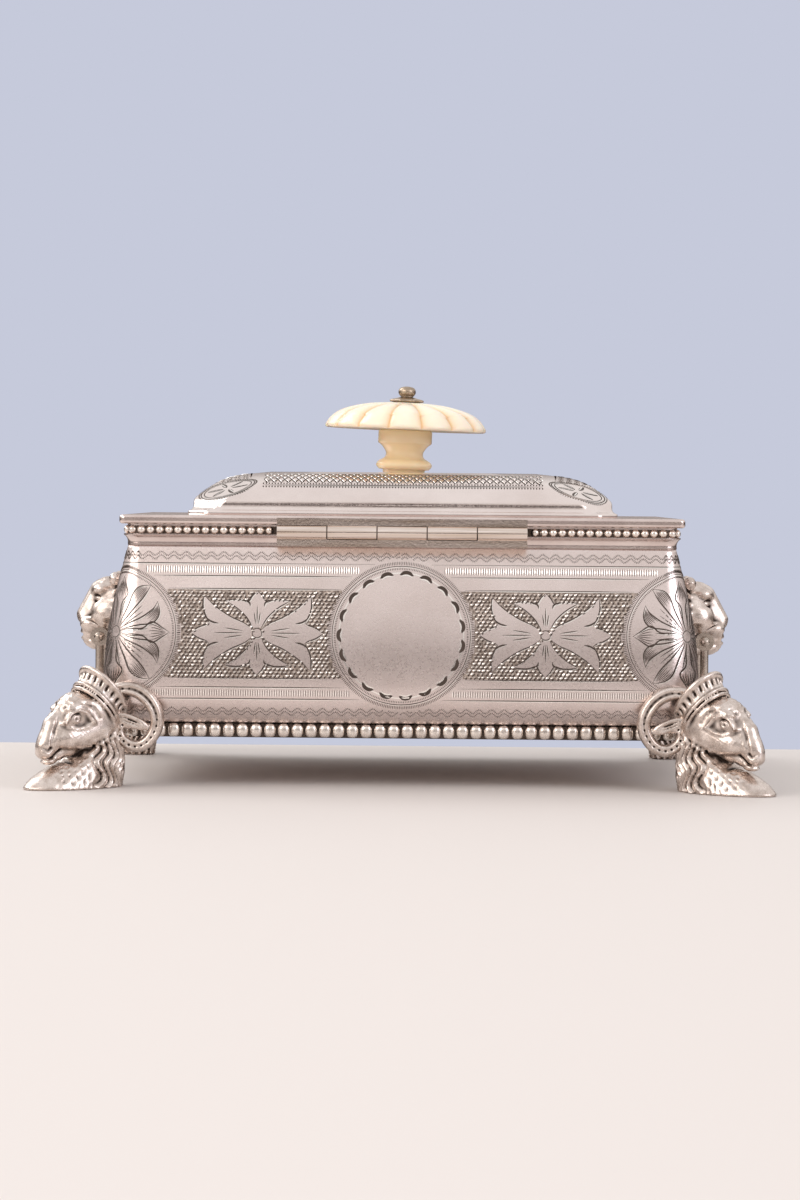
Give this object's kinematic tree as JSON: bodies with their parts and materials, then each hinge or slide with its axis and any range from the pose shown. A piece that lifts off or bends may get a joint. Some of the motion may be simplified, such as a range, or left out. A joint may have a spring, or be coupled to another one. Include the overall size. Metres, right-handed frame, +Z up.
{
  "type": "sardine box",
  "caption": "Silver-plated sardine box on ram's-head feet, with a hinged lid, fluted ivory-coloured knob, lion masks with drop handles and a glass liner.",
  "frame": {"origin": "centre of the footprint, on the surface that the feet stand on", "axes": "+Z up, +X along the long side to the right as seen from the hinge side, -Y towards the hinge side"},
  "size_m": [0.1984, 0.1548, 0.1088],
  "materials": {
    "silver_plate": "polished",
    "rim_silver": "polished",
    "cast_silver": "satin",
    "bright_silver": "polished",
    "hinge_metal": "satin",
    "ivory": "glossy",
    "aged_fixings": "satin",
    "liner_glass": "clear"
  },
  "bodies": {
    "box": {"body_shell": "silver_plate", "base_plate": "silver_plate", "rim_moulding": "rim_silver", "rim_bead_row": "rim_silver", "bottom_bead_row": "rim_silver", "near_left_foot": "cast_silver", "near_left_horns": "cast_silver", "near_right_foot": "cast_silver", "near_right_horns": "cast_silver", "far_left_foot": "cast_silver", "far_left_horns": "cast_silver", "far_right_foot": "cast_silver", "far_right_horns": "cast_silver", "left_mask": "cast_silver", "left_pivot_pin": "bright_silver", "right_mask": "cast_silver", "right_pivot_pin": "bright_silver", "hinge_leaf_body": "hinge_metal", "hinge_pin": "hinge_metal", "liner": "liner_glass"},
    "lid": {"lid_flange": "rim_silver", "lid_dome": "silver_plate", "hinge_leaf_lid": "hinge_metal", "knob_stem": "ivory", "knob_cap": "ivory", "knob_washer": "aged_fixings", "knob_nut": "aged_fixings", "knob_stud": "aged_fixings", "knob_inner_nut": "aged_fixings"},
    "left_handle": {"left_bail": "bright_silver"},
    "right_handle": {"right_bail": "bright_silver"}
  },
  "joints": [
    {"name": "lid_hinge", "type": "hinge", "parent": "box", "child": "lid", "pos_m": [0, -0.0583, 0.0681], "axis": [1, 0, 0], "range_deg": [0, 100]},
    {"name": "left_handle_pivot", "type": "hinge", "parent": "box", "child": "left_handle", "pos_m": [-0.0844, 0, 0.038], "axis": [0, 1, 0], "range_deg": [-12, 190]},
    {"name": "right_handle_pivot", "type": "hinge", "parent": "box", "child": "right_handle", "pos_m": [0.0844, 0, 0.038], "axis": [0, -1, 0], "range_deg": [-12, 190]}
  ]
}
